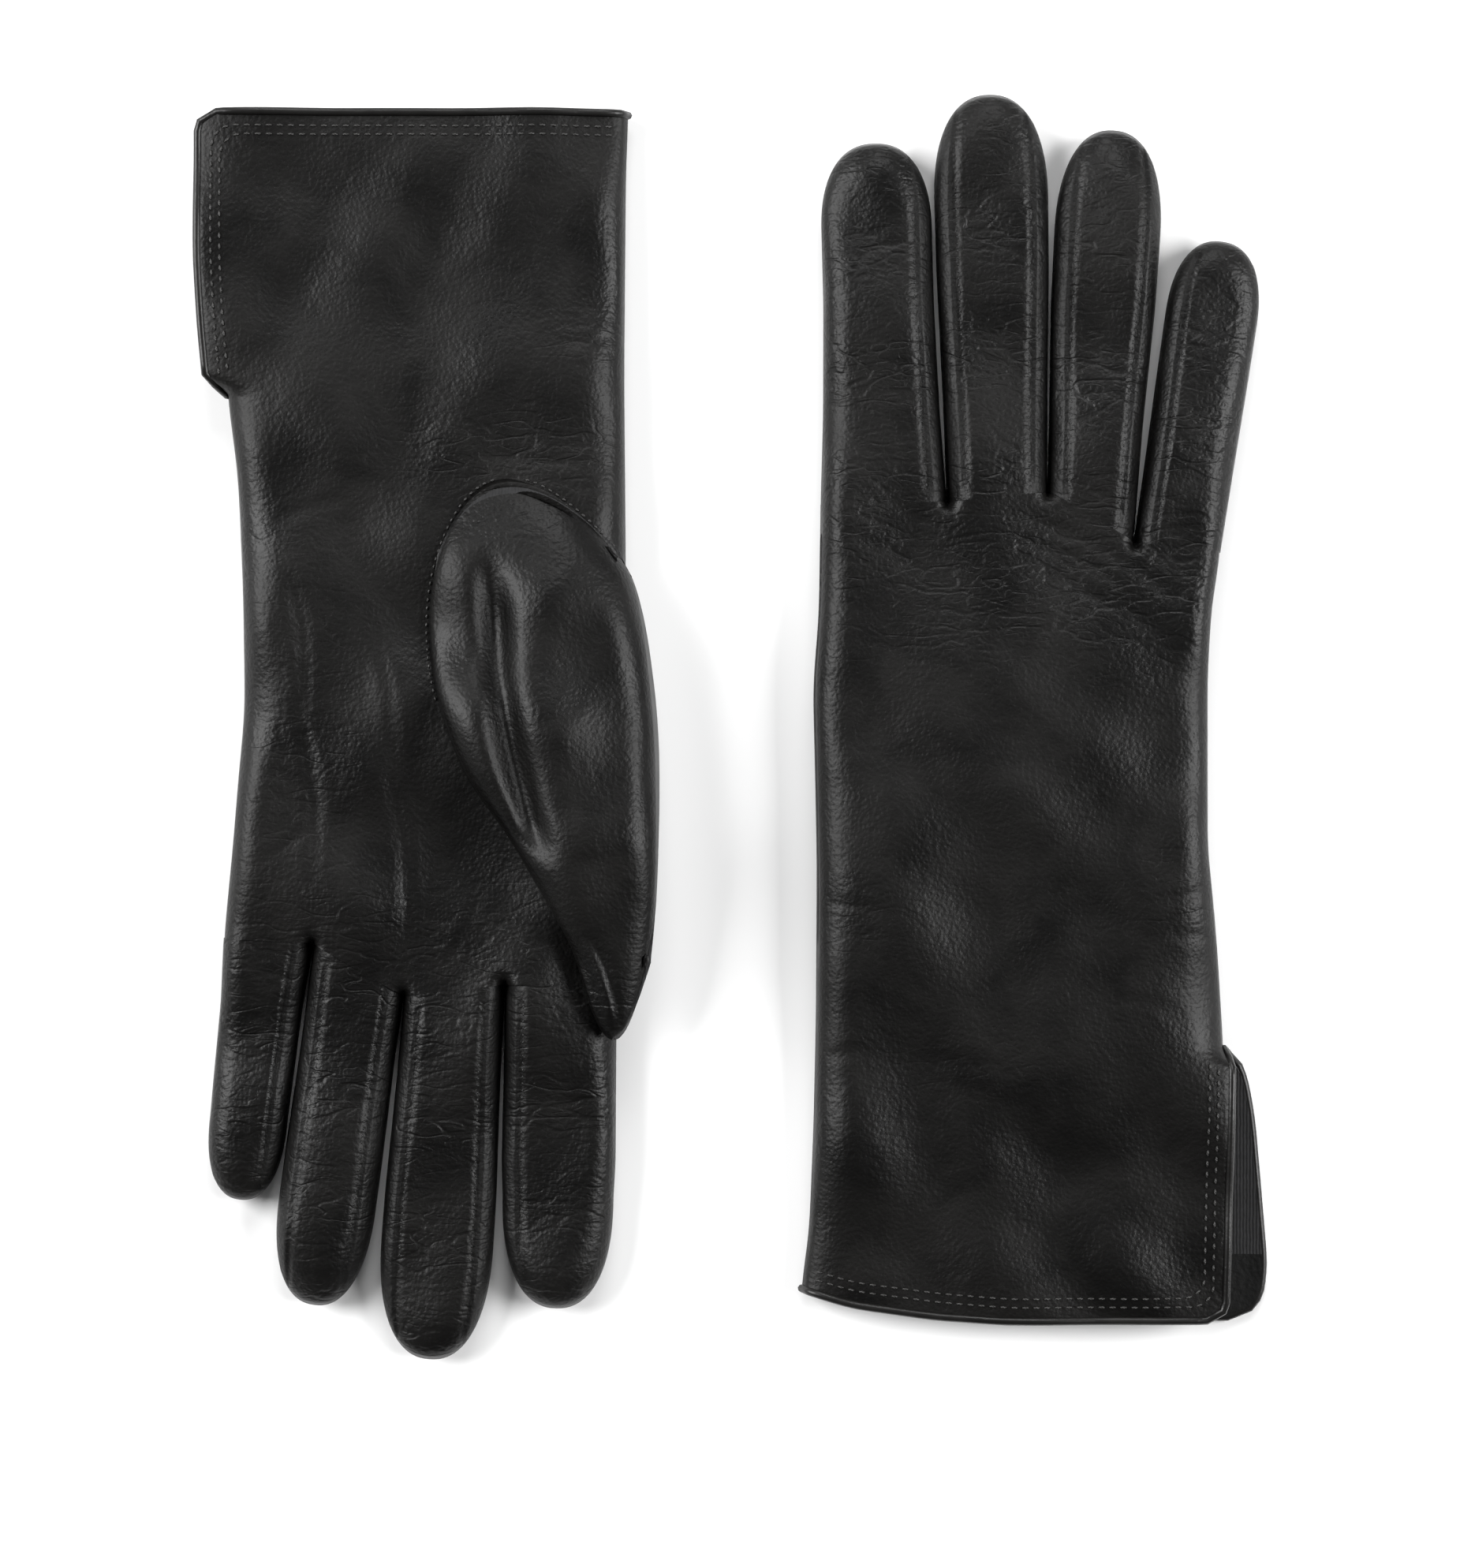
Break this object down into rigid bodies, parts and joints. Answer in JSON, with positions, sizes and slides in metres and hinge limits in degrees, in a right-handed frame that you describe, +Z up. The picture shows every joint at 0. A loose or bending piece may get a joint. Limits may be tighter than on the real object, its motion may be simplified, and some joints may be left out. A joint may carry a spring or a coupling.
{
  "type": "leather gloves",
  "caption": "Pair of slim dress gloves in smooth leather with set-in thumbs, fourchettes and a bound, vented cuff, one lying palm up and the other back up.",
  "frame": {"origin": "centre of the pair's footprint, on the surface that it lies on", "axes": "+Z up from that surface, +Y along the gloves towards the right glove's fingertips and the left glove's hem, +X from the left glove to the right glove"},
  "size_m": [0.2434, 0.2884, 0.0254],
  "materials": {
    "glove_leather": "satin smooth nappa, fine grain",
    "fourchette_leather": "satin smooth nappa, fine grain",
    "binding_leather": "rolled edge, slightly glossier",
    "facing_leather": "flat black leather",
    "lining_fabric": "fine black knit",
    "thread": "waxed black thread"
  },
  "bodies": {
    "left_hand": {"left_hand_leather": "glove_leather", "left_hand_lining": "lining_fabric", "left_cuff_facing": "facing_leather", "left_cuff_binding": "binding_leather", "left_cuff_stitching": "thread", "left_thumb_base": "glove_leather"},
    "left_thumb": {"left_thumb_stall": "glove_leather", "left_thumb_lining": "lining_fabric"},
    "left_index": {"left_index_strip": "glove_leather", "left_index_outer_fourchette": "fourchette_leather", "left_index_lining": "lining_fabric"},
    "left_middle": {"left_middle_back_strip": "glove_leather", "left_middle_palm_strip": "glove_leather", "left_middle_inner_fourchette": "fourchette_leather", "left_middle_outer_fourchette": "fourchette_leather", "left_middle_lining": "lining_fabric"},
    "left_ring": {"left_ring_back_strip": "glove_leather", "left_ring_palm_strip": "glove_leather", "left_ring_inner_fourchette": "fourchette_leather", "left_ring_outer_fourchette": "fourchette_leather", "left_ring_lining": "lining_fabric"},
    "left_little": {"left_little_back_strip": "glove_leather", "left_little_palm_strip": "glove_leather", "left_little_inner_fourchette": "fourchette_leather", "left_little_lining": "lining_fabric"},
    "right_hand": {"right_hand_leather": "glove_leather", "right_hand_lining": "lining_fabric", "right_cuff_facing": "facing_leather", "right_cuff_binding": "binding_leather", "right_cuff_stitching": "thread", "right_thumb_base": "glove_leather"},
    "right_thumb": {"right_thumb_stall": "glove_leather", "right_thumb_lining": "lining_fabric"},
    "right_index": {"right_index_strip": "glove_leather", "right_index_outer_fourchette": "fourchette_leather", "right_index_lining": "lining_fabric"},
    "right_middle": {"right_middle_palm_strip": "glove_leather", "right_middle_back_strip": "glove_leather", "right_middle_inner_fourchette": "fourchette_leather", "right_middle_outer_fourchette": "fourchette_leather", "right_middle_lining": "lining_fabric"},
    "right_ring": {"right_ring_palm_strip": "glove_leather", "right_ring_back_strip": "glove_leather", "right_ring_inner_fourchette": "fourchette_leather", "right_ring_outer_fourchette": "fourchette_leather", "right_ring_lining": "lining_fabric"},
    "right_little": {"right_little_palm_strip": "glove_leather", "right_little_back_strip": "glove_leather", "right_little_inner_fourchette": "fourchette_leather", "right_little_lining": "lining_fabric"}
  },
  "joints": [
    {"name": "left_index_bend", "type": "hinge", "parent": "left_hand", "child": "left_index", "pos_m": [-0.03896, -0.07885, 0.00625], "axis": [-1, 0, 0], "range_deg": [-40, 85]},
    {"name": "left_middle_bend", "type": "hinge", "parent": "left_hand", "child": "left_middle", "pos_m": [-0.06393, -0.06783, 0.00625], "axis": [-1, 0, 0], "range_deg": [-40, 85]},
    {"name": "left_ring_bend", "type": "hinge", "parent": "left_hand", "child": "left_ring", "pos_m": [-0.08634, -0.06277, 0.00625], "axis": [-1, 0, 0], "range_deg": [-40, 85]},
    {"name": "left_little_bend", "type": "hinge", "parent": "left_hand", "child": "left_little", "pos_m": [-0.10679, -0.05475, 0.00625], "axis": [-1, 0, 0], "range_deg": [-40, 85]},
    {"name": "left_thumb_swing", "type": "hinge", "parent": "left_hand", "child": "left_thumb", "pos_m": [-0.0395, -0.0052, 0.0209], "axis": [0, 0, 1], "range_deg": [0, 50]},
    {"name": "right_glove_lift", "type": "slide", "parent": "left_hand", "child": "right_hand", "axis": [0, 0, 1], "range_m": [0, 0.15]},
    {"name": "right_index_bend", "type": "hinge", "parent": "right_hand", "child": "right_index", "pos_m": [0.03483, 0.05885, 0.00625], "axis": [-1, 0, 0], "range_deg": [-40, 85]},
    {"name": "right_middle_bend", "type": "hinge", "parent": "right_hand", "child": "right_middle", "pos_m": [0.06105, 0.05985, 0.00625], "axis": [-1, 0, 0], "range_deg": [-40, 85]},
    {"name": "right_ring_bend", "type": "hinge", "parent": "right_hand", "child": "right_ring", "pos_m": [0.08339, 0.05484, 0.00625], "axis": [-1, 0, 0], "range_deg": [-40, 85]},
    {"name": "right_little_bend", "type": "hinge", "parent": "right_hand", "child": "right_little", "pos_m": [0.10408, 0.04675, 0.00625], "axis": [-1, 0, 0], "range_deg": [-40, 85]},
    {"name": "right_thumb_swing", "type": "hinge", "parent": "right_hand", "child": "right_thumb", "pos_m": [0.0394, -0.0018, 0.0038], "axis": [0, 0, 1], "range_deg": [0, 50]}
  ]
}
